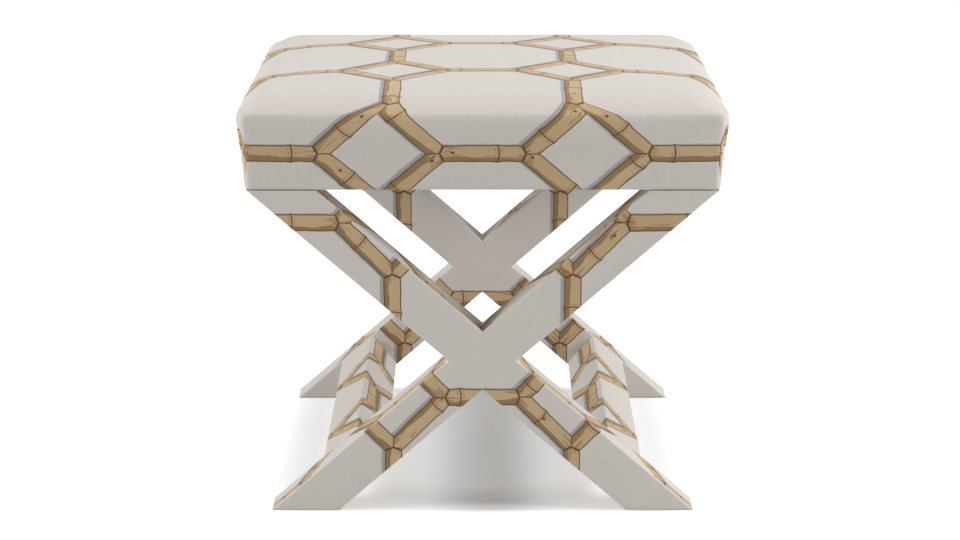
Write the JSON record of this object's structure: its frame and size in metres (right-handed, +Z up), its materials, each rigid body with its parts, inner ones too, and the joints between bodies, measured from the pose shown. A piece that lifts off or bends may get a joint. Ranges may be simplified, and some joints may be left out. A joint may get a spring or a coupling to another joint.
{
  "type": "upholstered x bench",
  "caption": "Upholstered bench with a boxed, crowned seat on crossed X-shaped frames joined by low square stretchers, all covered in printed fabric.",
  "frame": {"origin": "on the floor, under the middle of the seat", "axes": "+X along the seat's width to the right as seen from the front, the front faces -Y, +Z up"},
  "size_m": [0.509, 0.476, 0.457],
  "materials": {
    "printed_fabric": "woven, printed",
    "frame_wood": "sawn, unfinished",
    "plywood": "sanded plywood",
    "foam": "open-cell foam",
    "wadding": "loose fibre",
    "dust_cloth": "non-woven, matte",
    "screw_steel": "zinc plated"
  },
  "bodies": {
    "root": {"seat_top_panel": "printed_fabric", "seat_band_front": "printed_fabric", "seat_band_back": "printed_fabric", "seat_band_left": "printed_fabric", "seat_band_right": "printed_fabric", "front_x_outer_panel": "printed_fabric", "front_x_inner_panel": "printed_fabric", "front_x_strip_upper": "printed_fabric", "front_x_strip_lower": "printed_fabric", "front_x_strip_left": "printed_fabric", "front_x_strip_right": "printed_fabric", "back_x_outer_panel": "printed_fabric", "back_x_inner_panel": "printed_fabric", "back_x_strip_upper": "printed_fabric", "back_x_strip_lower": "printed_fabric", "back_x_strip_left": "printed_fabric", "back_x_strip_right": "printed_fabric", "stretcher_left_sleeve": "printed_fabric", "stretcher_right_sleeve": "printed_fabric", "foot_soles": "printed_fabric", "front_leg_left": "frame_wood", "front_leg_right": "frame_wood", "back_leg_left": "frame_wood", "back_leg_right": "frame_wood", "stretcher_left": "frame_wood", "stretcher_right": "frame_wood", "seat_rail_front": "frame_wood", "seat_rail_back": "frame_wood", "seat_rail_left": "frame_wood", "seat_rail_right": "frame_wood", "seat_corner_blocks": "frame_wood", "stretcher_dowels": "frame_wood", "seat_deck": "plywood", "seat_foam": "foam", "seat_wadding": "wadding", "dust_cover": "dust_cloth", "lap_screws": "screw_steel", "seat_fixing_screws": "screw_steel", "deck_screws": "screw_steel", "rail_screws": "screw_steel"}
  },
  "joints": []
}
